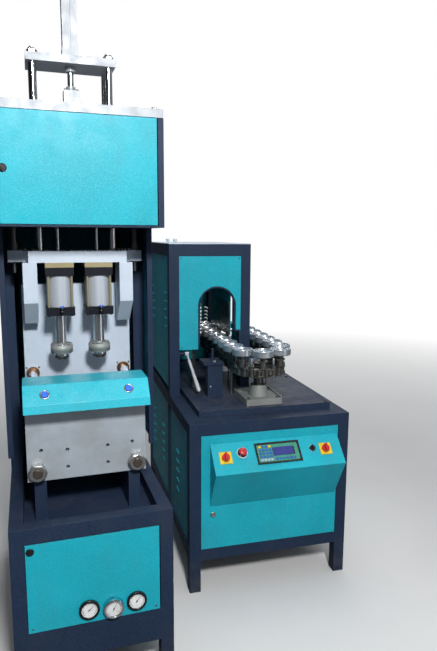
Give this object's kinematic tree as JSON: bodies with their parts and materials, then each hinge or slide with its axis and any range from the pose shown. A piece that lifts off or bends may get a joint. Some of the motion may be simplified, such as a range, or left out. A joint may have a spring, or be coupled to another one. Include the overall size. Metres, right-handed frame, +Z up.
{
  "type": "blow moulding machine",
  "caption": "Semi-automatic stretch blow moulding machine for bottles: blowing unit with horizontal clamp, and preform heater with oven and chain of holders.",
  "frame": {"origin": "on the floor, at the middle of the whole machine's box", "axes": "+X to the machine's right as the operator sees it, +Y to the back, +Z up"},
  "size_m": [1.4194, 1.5236, 2.45],
  "materials": {
    "slate_paint": "satin powder coat",
    "teal_paint": "fine textured powder coat",
    "plate_aluminium": "milled, dull",
    "pale_aluminium": "anodised, matt",
    "chrome_rod": "polished",
    "machined_steel": "turned and zinc plated",
    "bronze": "worn bronze",
    "black_plastic": "matt",
    "blue_plastic": "gloss",
    "red_plastic": "gloss",
    "yellow_plastic": "gloss",
    "brass_plate": "dull",
    "chain_steel": "oiled, dark",
    "holder_aluminium": "turned, bright",
    "lamp_quartz": "clear quartz with white ends",
    "gauge_case": "gloss"
  },
  "bodies": {
    "root": {"blower_frame": "slate_paint", "base_panels": "teal_paint", "front_plate": "plate_aluminium", "tie_bars": "chrome_rod", "tie_bar_nuts": "machined_steel", "rear_plate": "plate_aluminium", "clamp_cylinder": "pale_aluminium", "guard": "teal_paint", "upper_frame": "slate_paint", "body_panels": "teal_paint", "top_plate": "pale_aluminium", "stretch_bridge": "plate_aluminium", "bridge_columns": "chrome_rod", "stretch_cylinder": "pale_aluminium", "guide_rods": "chrome_rod", "head_beams": "pale_aluminium", "beam_arms": "pale_aluminium", "beam_columns": "chain_steel", "seal_cylinders": "pale_aluminium", "spacer_plates": "brass_plate", "table_frame": "slate_paint", "table_panels": "teal_paint", "oven_frame": "slate_paint", "oven_front_panel": "teal_paint", "oven_panels": "teal_paint", "oven_top": "pale_aluminium", "heat_lamps": "lamp_quartz", "lamp_reflectors": "pale_aluminium", "chain_plinth": "slate_paint", "bearing_blocks": "machined_steel", "sprockets": "chain_steel", "chain": "chain_steel", "preform_holders": "holder_aluminium", "chain_guides": "machined_steel", "gearmotor": "machined_steel"},
    "base_door": {"base_door": "teal_paint", "gauges": "gauge_case"},
    "base_door_lock": {"base_door_lock": "black_plastic"},
    "clamp": {"moving_platen": "pale_aluminium", "platen_bushes": "bronze", "clamp_piston_rod": "chrome_rod"},
    "left_button": {"left_start_button": "blue_plastic"},
    "right_button": {"right_start_button": "blue_plastic"},
    "upper_door": {"upper_door": "teal_paint"},
    "upper_door_knob": {"upper_door_knob": "black_plastic"},
    "stretching": {"stretch_piston_rod": "chrome_rod", "stretch_crosshead": "plate_aluminium", "stretch_rods": "chrome_rod"},
    "left_nozzle": {"left_nozzle": "machined_steel"},
    "right_nozzle": {"right_nozzle": "machined_steel"},
    "heater_door": {"heater_door": "teal_paint", "console": "teal_paint", "switch_plates": "yellow_plastic", "display_panel": "black_plastic"},
    "heater_door_lock": {"heater_door_lock": "machined_steel"},
    "left_switch": {"left_switch_knob": "red_plastic"},
    "right_switch": {"right_switch_knob": "red_plastic"},
    "emergency_stop": {"emergency_stop": "red_plastic"},
    "selector": {"selector_knob": "black_plastic"},
    "hand_lever": {"hand_lever": "pale_aluminium"}
  },
  "joints": [
    {"name": "base_door_hinge", "type": "hinge", "parent": "root", "child": "base_door", "pos_m": [-0.25923, -0.7368, 0.394], "axis": [0, 0, 1], "range_deg": [0, 100]},
    {"name": "base_lock_turn", "type": "hinge", "parent": "base_door", "child": "base_door_lock", "pos_m": [-0.65123, -0.7418, 0.5165], "axis": [0, 1, 0], "range_deg": [0, 90]},
    {"name": "clamp_slide", "type": "slide", "parent": "root", "child": "clamp", "axis": [0, 1, 0], "range_m": [0, 0.15]},
    {"name": "left_button_press", "type": "slide", "parent": "root", "child": "left_button", "axis": [0, 0.8071, -0.5904], "range_m": [0, 0.004], "stiffness_N_per_m": 400},
    {"name": "right_button_press", "type": "slide", "parent": "root", "child": "right_button", "axis": [0, 0.8071, -0.5904], "range_m": [0, 0.004], "stiffness_N_per_m": 400},
    {"name": "upper_door_hinge", "type": "hinge", "parent": "root", "child": "upper_door", "pos_m": [-0.23423, -0.6513, 1.6465], "axis": [0, 0, 1], "range_deg": [0, 110]},
    {"name": "upper_knob_turn", "type": "hinge", "parent": "upper_door", "child": "upper_door_knob", "pos_m": [-0.67623, -0.6563, 1.6435], "axis": [0, 1, 0], "range_deg": [0, 90]},
    {"name": "stretch_slide", "type": "slide", "parent": "root", "child": "stretching", "axis": [0, 0, 1], "range_m": [-0.3, 0]},
    {"name": "left_nozzle_slide", "type": "slide", "parent": "root", "child": "left_nozzle", "axis": [0, 0, 1], "range_m": [0, 0.06]},
    {"name": "right_nozzle_slide", "type": "slide", "parent": "root", "child": "right_nozzle", "axis": [0, 0, 1], "range_m": [0, 0.06]},
    {"name": "heater_door_hinge", "type": "hinge", "parent": "root", "child": "heater_door", "pos_m": [0.59287, -0.37028, 0.429], "axis": [0, 0, 1], "range_deg": [0, 86]},
    {"name": "heater_lock_turn", "type": "hinge", "parent": "heater_door", "child": "heater_door_lock", "pos_m": [0.05351, -0.34353, 0.335], "axis": [0.0588, 0.9983, 0], "range_deg": [0, 90]},
    {"name": "left_switch_turn", "type": "hinge", "parent": "heater_door", "child": "left_switch", "pos_m": [0.0893, -0.39073, 0.58951], "axis": [-0.0418, -0.7096, 0.7034], "range_deg": [0, 90]},
    {"name": "right_switch_turn", "type": "hinge", "parent": "heater_door", "child": "right_switch", "pos_m": [0.51556, -0.41583, 0.58951], "axis": [-0.0418, -0.7096, 0.7034], "range_deg": [0, 90]},
    {"name": "emergency_stop_press", "type": "slide", "parent": "heater_door", "child": "emergency_stop", "axis": [0.0418, 0.7096, -0.7034], "range_m": [0, 0.005]},
    {"name": "selector_turn", "type": "hinge", "parent": "heater_door", "child": "selector", "pos_m": [0.45994, -0.40762, 0.59448], "axis": [-0.0418, -0.7096, 0.7034], "range_deg": [-45, 45]},
    {"name": "hand_lever_swing", "type": "hinge", "parent": "root", "child": "hand_lever", "pos_m": [0.06922, 0.11885, 0.912], "axis": [-0.9983, 0.0588, 0], "range_deg": [0, 30]}
  ]
}
